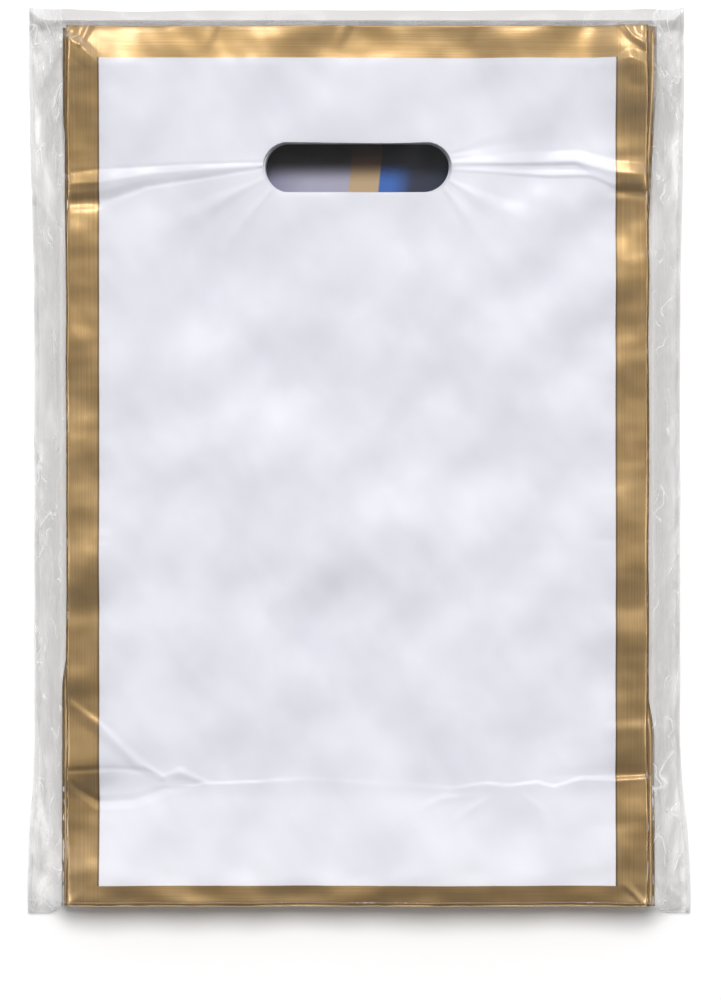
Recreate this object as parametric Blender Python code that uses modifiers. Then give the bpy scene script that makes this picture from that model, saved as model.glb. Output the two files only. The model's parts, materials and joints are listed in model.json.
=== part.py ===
"""A retail pack of gift bags with punched handles, in a clear self-seal sleeve.

Units are metres. The pack lies on its back: +X runs across it, +Y towards the handles and the
sleeve's mouth, and +Z up, out of the front face. The origin is on the surface that the pack lies on,
below its centre. Bag 1 is the front bag, and the last bag lies on the printed card at the back.
"""

import bmesh
import bpy
from mathutils import Matrix

# Driving dimensions
BAG_WIDTH = 0.165
BAG_LENGTH = 0.250
FILM = 0.0001
GAP = 0.00025
REST_GAP = 0.0003
BAG_COUNT = 8

# Die-cut handle: a slot with round ends
SLOT_LENGTH = 0.0525
SLOT_WIDTH = 0.0142
SLOT_FROM_TOP = 0.040
SLOT_SEGMENTS = 32

# Folds and welds of one bag
GUSSET_DEPTH = 0.034
SEAM_WIDTH = 0.001

# How far the bags lie out of line with each other, across and along the pack
STRAY_X = 0.0006
STRAY_Y = 0.0004

# Clear sleeve
SLEEVE_WIDTH = 0.185
SLEEVE_LENGTH = 0.256
SLEEVE_FIN = 0.0035
SLEEVE_SIDE_ROOM = 0.0015
SLEEVE_END_ROOM = 0.0008
SLEEVE_WELD = 0.0012
FLAP_LENGTH = 0.038
FLAP_INSET = 0.0015
FLAP_CORNER = 0.004
STRIP_WIDTH = 0.008
STRIP_FROM_EDGE = 0.005
STRIP_INSET = 0.006

# Printed card behind the bags
CARD_WIDTH = 0.158
CARD_LENGTH = 0.240
CARD_THICKNESS = 0.0003
CARD_CORNER = 0.003

# Heights, from the surface up. Every sheet is named by its lower face.
STRIP_Z = 0.0
FLAP_Z = STRIP_Z + FILM + GAP
BACK_FILM_Z = FLAP_Z + FILM + GAP
HINGE_Z = (FLAP_Z + BACK_FILM_Z + FILM) / 2
WELD_Z = BACK_FILM_Z + FILM + GAP
FIN_Z = WELD_Z + FILM + GAP
CARD_Z = WELD_Z + FILM + REST_GAP
BAG_THICKNESS = 4 * FILM + 3 * GAP
BAG_PITCH = BAG_THICKNESS + GAP
STACK_Z = CARD_Z + CARD_THICKNESS + REST_GAP
STACK_TOP_Z = STACK_Z + BAG_COUNT * BAG_PITCH - GAP
FRONT_FILM_Z = STACK_TOP_Z + REST_GAP

# Places along the pack
SLEEVE_FOOT_Y = -SLEEVE_LENGTH / 2
MOUTH_Y = SLEEVE_LENGTH / 2
BAG_FOOT_Y = SLEEVE_FOOT_Y + 0.0022
BAG_CENTRE_Y = BAG_FOOT_Y + BAG_LENGTH / 2

WHITE_FILM = ((0.86, 0.87, 0.90, 1.0), 0.35, 0.0)
GOLD_FILM = ((0.52, 0.37, 0.16, 1.0), 0.35, 0.8)
CLEAR_FILM = ((0.93, 0.94, 0.95, 0.2), 0.08, 0.0)
ADHESIVE = ((0.85, 0.85, 0.80, 0.4), 0.4, 0.0)
CARD_STOCK = ((0.80, 0.81, 0.83, 1.0), 0.5, 0.0)


def clear_scene():
    for old in list(bpy.data.objects):
        bpy.data.objects.remove(old)


def new_collection(name):
    made = bpy.data.collections.new(name)
    bpy.context.scene.collection.children.link(made)
    return made


def new_material(name, look):
    colour, roughness, metallic = look
    made = bpy.data.materials.new(name)
    made.use_nodes = True
    shader = made.node_tree.nodes["Principled BSDF"]
    shader.inputs["Base Color"].default_value = colour
    shader.inputs["Alpha"].default_value = colour[3]
    shader.inputs["Roughness"].default_value = roughness
    shader.inputs["Metallic"].default_value = metallic
    return made


def new_anchor(name, location, collection):
    """An empty that a moving body's pieces hang from, on its joint."""
    anchor = bpy.data.objects.new(name, None)
    anchor.location = location
    collection.objects.link(anchor)
    return anchor


def new_object(name, bm, location, look, collection, anchor=None):
    """A mesh object at a place given in the pack's frame, hung from its anchor if it has one."""
    mesh = bpy.data.meshes.new(name)
    bm.to_mesh(mesh)
    bm.free()
    made = bpy.data.objects.new(name, mesh)
    made.data.materials.append(new_material(name, look))
    made.location = location
    if anchor is not None:
        made.parent = anchor
        made.matrix_parent_inverse = Matrix.Translation(anchor.location).inverted()
    collection.objects.link(made)
    return made


def box_mesh(width, length, height):
    bm = bmesh.new()
    bmesh.ops.create_cube(bm, size=1.0)
    bmesh.ops.scale(bm, vec=(width, length, height), verts=bm.verts)
    return bm


def sheet(name, width, length, height, place, look, collection, anchor=None, corner=0.0):
    """A flat rectangular sheet. place is the middle of its lower face."""
    bm = box_mesh(width, length, height)
    if corner:
        upright = [e for e in bm.edges if abs(e.verts[0].co.z - e.verts[1].co.z) > height / 2]
        bmesh.ops.bevel(bm, geom=upright, offset=corner, segments=4, affect="EDGES", profile=0.5)
    x, y, z = place
    return new_object(name, bm, (x, y, z + height / 2), look, collection, anchor)


def slot_cutter(name, place, height, collection, anchor):
    """The punch for one handle slot: the hull of two round posts."""
    radius = SLOT_WIDTH / 2
    bm = bmesh.new()
    for side in (-1, 1):
        post = Matrix.Translation((side * (SLOT_LENGTH / 2 - radius), 0, 0))
        bmesh.ops.create_cone(
            bm,
            cap_ends=True,
            segments=SLOT_SEGMENTS,
            radius1=radius,
            radius2=radius,
            depth=height,
            matrix=post,
        )
    hull = bmesh.ops.convex_hull(bm, input=bm.verts)
    inner = [g for g in hull["geom_interior"] + hull["geom_unused"] if isinstance(g, bmesh.types.BMVert)]
    bmesh.ops.delete(bm, geom=inner, context="VERTS")
    bmesh.ops.dissolve_limit(bm, angle_limit=0.001, verts=bm.verts, edges=bm.edges)
    bmesh.ops.recalc_face_normals(bm, faces=bm.faces)
    cutter = new_object(name, bm, place, CLEAR_FILM, collection, anchor)
    cutter.hide_render = True
    cutter.display_type = "WIRE"
    return cutter


def punch(panel, cutter):
    cut = panel.modifiers.new("handle_slot", "BOOLEAN")
    cut.operation = "DIFFERENCE"
    cut.solver = "EXACT"
    cut.object = cutter


def gusset(name, place, width, parts, anchor):
    """The bottom fold: two leaves that run up into the bag and meet at the inner crease."""
    spacing = FILM + GAP
    bm = box_mesh(width, GUSSET_DEPTH, spacing)
    open_sides = [f for f in bm.faces if abs(f.normal.x) > 0.5 or f.normal.y < -0.5]
    bmesh.ops.delete(bm, geom=open_sides, context="FACES")
    made = new_object(name, bm, place, GOLD_FILM, parts, anchor)
    thicken = made.modifiers.new("film", "SOLIDIFY")
    thicken.thickness = FILM
    thicken.offset = 0.0
    thicken.use_even_offset = True
    return made


def bag(number, parts, cutters):
    """One lay-flat bag: two punched panels, a bottom gusset and a weld down each side."""
    layer = BAG_COUNT - number
    base_z = STACK_Z + layer * BAG_PITCH
    x = STRAY_X * ((number * 2) % 5 - 2) / 2
    y = BAG_CENTRE_Y + STRAY_Y * ((number * 3) % 4) / 2
    name = f"bag_{number}"
    anchor = new_anchor(f"{name}_slide", (x, y, base_z), parts)

    slot_y = y + BAG_LENGTH / 2 - SLOT_FROM_TOP
    slot_place = (x, slot_y, base_z + BAG_THICKNESS / 2)
    cutter = slot_cutter(f"{name}_slot_cutter", slot_place, 3 * BAG_THICKNESS, cutters, anchor)
    front_z = base_z + BAG_THICKNESS - FILM
    for panel_name, z in (("back_panel", base_z), ("front_panel", front_z)):
        panel = sheet(
            f"{name}_{panel_name}", BAG_WIDTH, BAG_LENGTH, FILM, (x, y, z), WHITE_FILM, parts, anchor
        )
        punch(panel, cutter)

    gusset_y = y - BAG_LENGTH / 2 + GUSSET_DEPTH / 2
    gusset_width = BAG_WIDTH - 2 * (SEAM_WIDTH + GAP)
    gusset(f"{name}_bottom_gusset", (x, gusset_y, base_z + BAG_THICKNESS / 2), gusset_width, parts, anchor)

    seam_thickness = BAG_THICKNESS - 2 * (FILM + GAP)
    for side, side_name in ((-1, "left"), (1, "right")):
        seam_place = (x + side * (BAG_WIDTH - SEAM_WIDTH) / 2, y, base_z + FILM + GAP)
        sheet(
            f"{name}_side_seam_{side_name}",
            SEAM_WIDTH,
            BAG_LENGTH,
            seam_thickness,
            seam_place,
            GOLD_FILM,
            parts,
            anchor,
        )


def sleeve_front_film(parts):
    """The sleeve's front: a flat top, sides and a foot that slope down, and a fin along each weld."""
    top_half_width = BAG_WIDTH / 2 + SLEEVE_SIDE_ROOM
    rim_half_width = SLEEVE_WIDTH / 2 - SLEEVE_FIN
    top_foot_y = BAG_FOOT_Y - SLEEVE_END_ROOM
    rim_foot_y = SLEEVE_FOOT_Y + SLEEVE_WELD
    height = FRONT_FILM_Z - FIN_Z
    bm = box_mesh(2 * rim_half_width, MOUTH_Y - rim_foot_y, height)
    bmesh.ops.translate(bm, vec=(0, (MOUTH_Y + rim_foot_y) / 2, height / 2), verts=bm.verts)
    for vert in bm.verts:
        if vert.co.z > height / 2:
            vert.co.x *= top_half_width / rim_half_width
            vert.co.y = max(vert.co.y, top_foot_y)
    open_sides = [f for f in bm.faces if f.normal.z < -0.5 or f.normal.y > 0.5]
    bmesh.ops.delete(bm, geom=open_sides, context="FACES")
    rim = [e for e in bm.edges if e.is_boundary and max(v.co.z for v in e.verts) < height / 2]
    fin = bmesh.ops.extrude_edge_only(bm, edges=rim)
    for vert in [g for g in fin["geom"] if isinstance(g, bmesh.types.BMVert)]:
        vert.co.x += SLEEVE_FIN if vert.co.x > 0 else -SLEEVE_FIN
        if vert.co.y < 0:
            vert.co.y = SLEEVE_FOOT_Y
    bmesh.ops.recalc_face_normals(bm, faces=bm.faces)
    if sum(f.normal.z * f.calc_area() for f in bm.faces) < 0:
        bmesh.ops.reverse_faces(bm, faces=bm.faces)
    made = new_object("sleeve_front_film", bm, (0, 0, FIN_Z), CLEAR_FILM, parts)
    thicken = made.modifiers.new("film", "SOLIDIFY")
    thicken.thickness = FILM
    thicken.offset = 1.0
    thicken.use_even_offset = True


def sleeve(parts):
    """The clear sleeve, closed at its foot and open at its mouth."""
    sleeve_front_film(parts)
    sheet("sleeve_back_film", SLEEVE_WIDTH, SLEEVE_LENGTH, FILM, (0, 0, BACK_FILM_Z), CLEAR_FILM, parts)
    for side, side_name in ((-1, "left"), (1, "right")):
        weld_x = side * (SLEEVE_WIDTH - SLEEVE_WELD) / 2
        sheet(
            f"sleeve_side_weld_{side_name}",
            SLEEVE_WELD,
            SLEEVE_LENGTH,
            FILM,
            (weld_x, 0, WELD_Z),
            CLEAR_FILM,
            parts,
        )
    foot_weld_width = SLEEVE_WIDTH - 2 * (SLEEVE_WELD + GAP)
    foot_weld_y = SLEEVE_FOOT_Y + SLEEVE_WELD / 2
    sheet("sleeve_foot_weld", foot_weld_width, SLEEVE_WELD, FILM, (0, foot_weld_y, WELD_Z), CLEAR_FILM, parts)


def sleeve_flap(parts):
    """The self-seal flap, turned under behind the pack. It hinges on the mouth edge of the back film."""
    anchor = new_anchor("sleeve_flap_hinge", (0, MOUTH_Y, HINGE_Z), parts)
    flap_width = SLEEVE_WIDTH - 2 * FLAP_INSET
    flap_y = MOUTH_Y - REST_GAP - FLAP_LENGTH / 2
    sheet(
        "sleeve_flap",
        flap_width,
        FLAP_LENGTH,
        FILM,
        (0, flap_y, FLAP_Z),
        CLEAR_FILM,
        parts,
        anchor,
        corner=FLAP_CORNER,
    )
    strip_y = flap_y - FLAP_LENGTH / 2 + STRIP_FROM_EDGE + STRIP_WIDTH / 2
    strip_width = flap_width - 2 * STRIP_INSET
    sheet(
        "flap_adhesive_strip",
        strip_width,
        STRIP_WIDTH,
        FILM,
        (0, strip_y, STRIP_Z),
        ADHESIVE,
        parts,
        anchor,
    )


def insert_card(parts):
    """The printed card that stiffens the pack, behind the last bag."""
    anchor = new_anchor("insert_card_slide", (0, BAG_CENTRE_Y, CARD_Z), parts)
    sheet(
        "insert_card",
        CARD_WIDTH,
        CARD_LENGTH,
        CARD_THICKNESS,
        (0, BAG_CENTRE_Y, CARD_Z),
        CARD_STOCK,
        parts,
        anchor,
        corner=CARD_CORNER,
    )


def main():
    clear_scene()
    parts = new_collection("gift_bag_pack")
    cutters = new_collection("cutters")
    sleeve(parts)
    sleeve_flap(parts)
    insert_card(parts)
    for number in range(1, BAG_COUNT + 1):
        bag(number, parts, cutters)


main()
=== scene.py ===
"""The looks of a retail pack of gift bags: printed film bags on a card, in a clear self-seal sleeve.

Lengths are in metres, apart from those in FOLDS, TUCKS, LOWEST_VALLEY, lie, wrinkles and crumple, which are
in millimetres where they shape the film's height.
"""

import json
import math

import bpy
import numpy as np
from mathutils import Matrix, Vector

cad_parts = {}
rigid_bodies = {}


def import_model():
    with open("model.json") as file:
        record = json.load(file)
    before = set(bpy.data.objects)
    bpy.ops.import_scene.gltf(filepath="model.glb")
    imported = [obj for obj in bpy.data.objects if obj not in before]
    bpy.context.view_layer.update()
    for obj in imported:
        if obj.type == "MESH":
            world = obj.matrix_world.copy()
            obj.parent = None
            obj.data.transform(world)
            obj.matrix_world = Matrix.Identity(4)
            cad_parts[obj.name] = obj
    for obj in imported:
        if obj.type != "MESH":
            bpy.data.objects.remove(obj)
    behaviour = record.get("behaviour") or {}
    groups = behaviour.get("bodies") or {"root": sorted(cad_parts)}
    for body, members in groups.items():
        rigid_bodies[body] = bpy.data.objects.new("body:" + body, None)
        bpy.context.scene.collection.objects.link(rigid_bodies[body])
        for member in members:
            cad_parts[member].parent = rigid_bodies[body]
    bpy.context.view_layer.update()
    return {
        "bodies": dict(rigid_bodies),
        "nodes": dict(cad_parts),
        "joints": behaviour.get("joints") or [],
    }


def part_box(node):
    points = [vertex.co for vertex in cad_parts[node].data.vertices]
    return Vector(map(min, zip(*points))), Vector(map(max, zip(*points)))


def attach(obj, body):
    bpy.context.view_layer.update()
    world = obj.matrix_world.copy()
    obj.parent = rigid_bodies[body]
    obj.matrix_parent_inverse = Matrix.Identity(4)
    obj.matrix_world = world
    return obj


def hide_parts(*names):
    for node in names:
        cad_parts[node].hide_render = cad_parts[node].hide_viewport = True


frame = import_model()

MM = 0.001
BAG_COUNT = sum(1 for body in frame["bodies"] if body.startswith("bag_"))
DETAIL = 1.0

# Bag film
FILM = 0.06 * MM
SLOT_FROM_TOP = 40.3 * MM
SLOT_HALF_LENGTH = 26.75 * MM
SLOT_RADIUS = 7.2 * MM
SLOT_STEP = 0.10
FRONT_LIFT = 0.20 * MM
GUSSET_DEPTH = 34.0 * MM
LEAF = 0.26
FOLD_TURN = 0.16 * MM
SIDE_BORDER = 9.2 * MM
TOP_BORDER = 9.2 * MM
FOOT_BORDER = 5.7 * MM
FOLD_DEPTH = 1.75
LOWEST_VALLEY = -0.45
SIDES_APART = 3.3  # Keeps a noise's two sides unlike each other

# Sleeve
SLEEVE_LIFT = 0.75 * MM
WELD_HEIGHT = 2.6 * MM
WELD_WIDTH = 1.2 * MM
SHOULDER = 0.885  # Just inside the stack's edge, as a share of half the sleeve's width
FRONT_EAR_START = 0.905
BACK_EAR_START = 0.985
EAR_END = 1.02
MOUTH_START = 0.118
STEEP_PAINTED_SHADE = 0.25
STEEP_HAZE = 0.48
CREASE_HAZE = 0.40

# Camera and room
SENSOR = 36.0
CAMERA_HEIGHT = 0.95
SEEN_HEIGHT = 0.2837
ROOM_LIGHT = 0.72

# The CAD model's places and sizes
node_boxes = {name: np.array(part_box(name)) for name in frame["nodes"]}
front_box = node_boxes["bag_1_front_panel"]
bag_width, bag_length = (front_box[1] - front_box[0])[:2]
slot_y_local = bag_length / 2 - SLOT_FROM_TOP
front_middle = (front_box[0] + front_box[1]) / 2
front_top = front_box[1][2]
card_top = node_boxes["insert_card"][1][2]
hinge_z = next(joint["pos_m"][2] for joint in frame["joints"] if joint["name"] == "sleeve_flap_hinge")
sleeve_box = node_boxes["sleeve_front_film"]
back_box = node_boxes["sleeve_back_film"]
sleeve_half = (sleeve_box[1][0] - sleeve_box[0][0]) / 2
foot_y, mouth_y = sleeve_box[0][1], sleeve_box[1][1]
bag_foot_y, bag_mouth_y = front_box[0][1], front_box[1][1]
top_z = sleeve_box[1][2]


# Surfaces


def ease(low, high, value):
    """0 up to low, 1 from high, and smooth between."""
    t = np.clip((value - low) / (high - low), 0, 1)
    return t * t * (3 - 2 * t)


def spaced(start, stretches):
    """Positions from start, through stretches of (end, step)."""
    places = [start]
    for end, step in stretches:
        count = max(1, round(abs(end - places[-1]) / (step * DETAIL)))
        places.extend(np.linspace(places[-1], end, count + 1)[1:])
    return np.array(places)


def lattice(x, y, size_x, size_y):
    u = x / size_x + 500
    v = y / size_y + 500
    i = np.floor(u).astype(int)
    j = np.floor(v).astype(int)
    return i, j, u - i, v - j


def swell(x, y, size_x, size_y, seed):
    """Smooth gradient noise, about -1 to 1, with humps of the given size."""
    angle = np.random.default_rng(seed).uniform(0, 2 * math.pi, (64, 64))
    i, j, f, g = lattice(x, y, size_x, size_y)
    fade_f = f**3 * (f * (6 * f - 15) + 10)
    fade_g = g**3 * (g * (6 * g - 15) + 10)

    def corner(a, b):
        turn = angle[(i + a) % 64, (j + b) % 64]
        return np.cos(turn) * (f - a) + np.sin(turn) * (g - b)

    low = corner(0, 0) * (1 - fade_f) + corner(1, 0) * fade_f
    high = corner(0, 1) * (1 - fade_f) + corner(1, 1) * fade_f
    return 1.5 * (low * (1 - fade_g) + high * fade_g)


def facets(x, y, size_x, size_y, seed):
    """Crumpled noise, -1 to 1: flat facets with sharp edges."""
    value = np.random.default_rng(seed).uniform(-1, 1, (64, 64))
    i, j, f, g = lattice(x, y, size_x, size_y)

    def corner(a, b):
        return value[(i + a) % 64, (j + b) % 64]

    upper = corner(0, 0) + (corner(0, 1) - corner(0, 0)) * g + (corner(1, 1) - corner(0, 1)) * f
    lower = corner(0, 0) + (corner(1, 0) - corner(0, 0)) * f + (corner(1, 1) - corner(1, 0)) * g
    return np.where(g > f, upper, lower)


def crease(x, y, route):
    """The height of a crest along a route from left to right.

    Each of its points is (x, y, reach above it, reach below it, height). A valley has a height below 0.
    """
    height = np.zeros_like(x)
    nearest = np.full_like(x, np.inf)
    for start, end in zip(route[:-1], route[1:]):
        dx, dy = end[0] - start[0], end[1] - start[1]
        long = math.hypot(dx, dy)
        t = np.clip(((x - start[0]) * dx + (y - start[1]) * dy) / long**2, 0, 1)
        off_x, off_y = x - start[0] - t * dx, y - start[1] - t * dy
        away = np.hypot(off_x, off_y)
        above = dx * off_y - dy * off_x >= 0
        reach_above = start[2] + t * (end[2] - start[2])
        reach_below = start[3] + t * (end[3] - start[3])
        crest = start[4] + t * (end[4] - start[4])
        here = crest * np.clip(1 - away / np.where(above, reach_above, reach_below), 0, 1)
        closer = away < nearest
        height = np.where(closer, here, height)
        nearest = np.where(closer, away, nearest)
    return height


def slot_distance(x, y):
    """The distance outside the handle slot's outline, and the direction away from it."""
    straight = SLOT_HALF_LENGTH - SLOT_RADIUS
    off_x = x - np.clip(x, -straight, straight)
    away = np.maximum(np.hypot(off_x, y), 1e-9)
    return away - SLOT_RADIUS, off_x / away, y / away


def mesh_object(name, points, materials, keep=None, origin=(0, 0, 0), shares=None):
    """A smooth grid mesh with a face for each cell that is kept, and named shares for its material."""
    rows, columns = points.shape[:2]
    index = np.arange(rows * columns).reshape(rows, columns)
    cells = np.stack([index[:-1, :-1], index[1:, :-1], index[1:, 1:], index[:-1, 1:]], axis=-1)
    cells = cells.reshape(-1, 4) if keep is None else cells[keep]
    used, corners = np.unique(cells, return_inverse=True)
    mesh = bpy.data.meshes.new(name)
    places = points.reshape(-1, 3)[used] - np.array(origin)
    mesh.from_pydata(places.tolist(), [], corners.reshape(-1, 4).tolist())
    mesh.shade_smooth()
    for share_name, share in (shares or {}).items():
        attribute = mesh.attributes.new(share_name, "FLOAT", "POINT")
        attribute.data.foreach_set("value", share.reshape(-1)[used])
    made = bpy.data.objects.new(name, mesh)
    made.location = origin
    bpy.context.scene.collection.objects.link(made)
    for material in materials:
        mesh.materials.append(material)
    return made


def thicken(piece, thickness, inner_slot=0):
    solid = piece.modifiers.new("film", "SOLIDIFY")
    solid.thickness = thickness
    solid.offset = -1
    solid.material_offset = inner_slot
    solid.material_offset_rim = 0


# Materials


def new_material(name):
    made = bpy.data.materials.new(name)
    made.use_nodes = True
    tree = made.node_tree
    return made, tree, tree.nodes["Principled BSDF"]


def add(tree, kind, links=(), **settings):
    """A node with its settings, and its inputs set to values or linked to sockets."""
    made = tree.nodes.new(kind)
    for key, value in settings.items():
        setattr(made, key, value)
    for key, value in dict(links).items():
        if isinstance(value, bpy.types.NodeSocket):
            tree.links.new(value, made.inputs[key])
        else:
            made.inputs[key].default_value = value
    return made


def maths(tree, operation, first, second=0.0, clamp=False):
    return add(tree, "ShaderNodeMath", {0: first, 1: second}, operation=operation, use_clamp=clamp).outputs[0]


def mapped(tree, value, low, high, to_low=0.0, to_high=1.0):
    links = {"Value": value, "From Min": low, "From Max": high, "To Min": to_low, "To Max": to_high}
    return add(tree, "ShaderNodeMapRange", links, interpolation_type="SMOOTHSTEP").outputs[0]


def mixed(tree, factor, first, second):
    links = {"Factor": factor, 6: first, 7: second}
    return add(tree, "ShaderNodeMix", links, data_type="RGBA").outputs[2]


def object_place(tree):
    place = add(tree, "ShaderNodeTexCoord").outputs["Object"]
    apart = add(tree, "ShaderNodeSeparateXYZ", {0: place})
    return place, apart.outputs[0], apart.outputs[1]


def noise(tree, place, scale, detail=3.0, roughness=0.5, stretch=(1, 1, 1)):
    if stretch != (1, 1, 1):
        place = add(tree, "ShaderNodeVectorMath", {0: place, 1: stretch}, operation="MULTIPLY").outputs[0]
    links = {"Vector": place, "Scale": scale, "Detail": detail, "Roughness": roughness}
    return add(tree, "ShaderNodeTexNoise", links).outputs[0]


def printed_film(name, width, length):
    """White film with a metallic gold border, in a bag's own frame."""
    made, tree, shader = new_material(name)
    place, x, y = object_place(tree)
    soft = 0.12 * MM
    side = width / 2 - SIDE_BORDER
    top = length / 2 - TOP_BORDER
    foot = -length / 2 + FOOT_BORDER
    out = maths(tree, "ABSOLUTE", x)
    across = mapped(tree, out, side - soft, side + soft)
    over = mapped(tree, y, top - soft, top + soft)
    under = mapped(tree, y, foot - soft, foot + soft, 1.0, 0.0)
    ends = maths(tree, "MAXIMUM", over, under)
    border = maths(tree, "MAXIMUM", across, ends)

    # The print's fine drawn lines run along each strip of the border
    lines_along = noise(tree, place, 1.0, 2.0, 0.6, (2600, 24, 1))
    lines_across = noise(tree, place, 1.0, 2.0, 0.6, (24, 2600, 1))
    lines = add(tree, "ShaderNodeMix", {"Factor": across, 2: lines_across, 3: lines_along}).outputs[0]
    cloud = noise(tree, place, 45.0, 4.0, 0.55)
    gold_base = mixed(tree, mapped(tree, cloud, 0.35, 0.65), (0.64, 0.415, 0.168, 1), (0.75, 0.500, 0.222, 1))
    gold = mixed(tree, mapped(tree, lines, 0.3, 0.7, 0.0, 0.45), gold_base, (0.46, 0.270, 0.085, 1))
    # A brown line closes the gold off along its inner edge
    key_line = mapped(tree, out, side + 0.75 * MM, side + 0.25 * MM)
    inner = maths(tree, "MULTIPLY", key_line, maths(tree, "SUBTRACT", 1.0, ends))
    gold = mixed(tree, maths(tree, "MULTIPLY", inner, 0.75), gold, (0.17, 0.115, 0.060, 1))
    # Painted shade: the gold darkens over its last millimetre, where the film curves down over the bag's edge
    painted_edge_shade = mapped(tree, out, width / 2 - 1.1 * MM, width / 2 - 0.3 * MM, 0.0, 0.55)
    gold = mixed(tree, painted_edge_shade, gold, (0.20, 0.125, 0.050, 1))
    milk = mixed(tree, mapped(tree, cloud, 0.3, 0.7), (0.640, 0.645, 0.705, 1), (0.704, 0.707, 0.760, 1))
    # The film is whiter over the gusset, partly for the extra layers behind it and partly as painted light,
    # and greyer towards the mouth as painted shade
    gusset_layers_and_painted_light = mapped(tree, y, -length / 2 + GUSSET_DEPTH + MM, -length / 2 + GUSSET_DEPTH - 5 * MM)
    milk = mixed(tree, maths(tree, "MULTIPLY", gusset_layers_and_painted_light, 0.55), milk, (0.80, 0.80, 0.85, 1))
    painted_shade_to_mouth = mapped(tree, y, 0.03, length / 2, 0.0, 0.30)
    milk = mixed(tree, painted_shade_to_mouth, milk, (0.56, 0.57, 0.62, 1))
    tree.links.new(mixed(tree, border, milk, gold), shader.inputs["Base Color"])

    tree.links.new(maths(tree, "MULTIPLY", border, 0.94), shader.inputs["Metallic"])
    mottle = noise(tree, place, 260.0, 4.0, 0.6)
    satin = mapped(tree, mottle, 0.3, 0.7, 0.36, 0.46)
    foil = mapped(tree, lines, 0.3, 0.7, 0.33, 0.43)
    rough = add(tree, "ShaderNodeMix", {"Factor": border, 2: satin, 3: foil}).outputs[0]
    tree.links.new(rough, shader.inputs["Roughness"])
    tree.links.new(mapped(tree, border, 0.0, 1.0, 0.25, 0.8), shader.inputs["Coat Weight"])
    shader.inputs["Coat Roughness"].default_value = 0.20

    ripple = add(tree, "ShaderNodeMix", {"Factor": 0.25, 2: mottle, 3: lines}).outputs[0]
    bump = add(tree, "ShaderNodeBump", {"Strength": 0.22, "Distance": 0.05 * MM, "Height": ripple})
    tree.links.new(bump.outputs[0], shader.inputs["Normal"])
    return made


def plain_film(name):
    """The unprinted inside of a bag."""
    made, tree, shader = new_material(name)
    place, _, _ = object_place(tree)
    mottle = noise(tree, place, 180.0, 3.0)
    white = mixed(tree, mapped(tree, mottle, 0.3, 0.7), (0.70, 0.71, 0.75, 1), (0.77, 0.78, 0.81, 1))
    tree.links.new(white, shader.inputs["Base Color"])
    tree.links.new(mapped(tree, mottle, 0.3, 0.7, 0.5, 0.62), shader.inputs["Roughness"])
    return made


def weld_film(name):
    """Gold film, melted and drawn along a side weld, its gold painted near-brown as painted shade along the
    bags' edges.
    """
    made, tree, shader = new_material(name)
    place, _, _ = object_place(tree)
    drawn = noise(tree, place, 1.0, 3.0, 0.6, (2500, 420, 1))
    # Painted shade: the bead's gold is darkened to stand for the shade along each bag's edge
    gold = mixed(tree, mapped(tree, drawn, 0.3, 0.7), (0.12, 0.075, 0.030, 1), (0.27, 0.18, 0.075, 1))
    tree.links.new(gold, shader.inputs["Base Color"])
    shader.inputs["Metallic"].default_value = 0.4
    tree.links.new(mapped(tree, drawn, 0.3, 0.7, 0.45, 0.65), shader.inputs["Roughness"])
    bump = add(tree, "ShaderNodeBump", {"Strength": 0.4, "Distance": 0.08 * MM, "Height": drawn})
    tree.links.new(bump.outputs[0], shader.inputs["Normal"])
    return made


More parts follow.
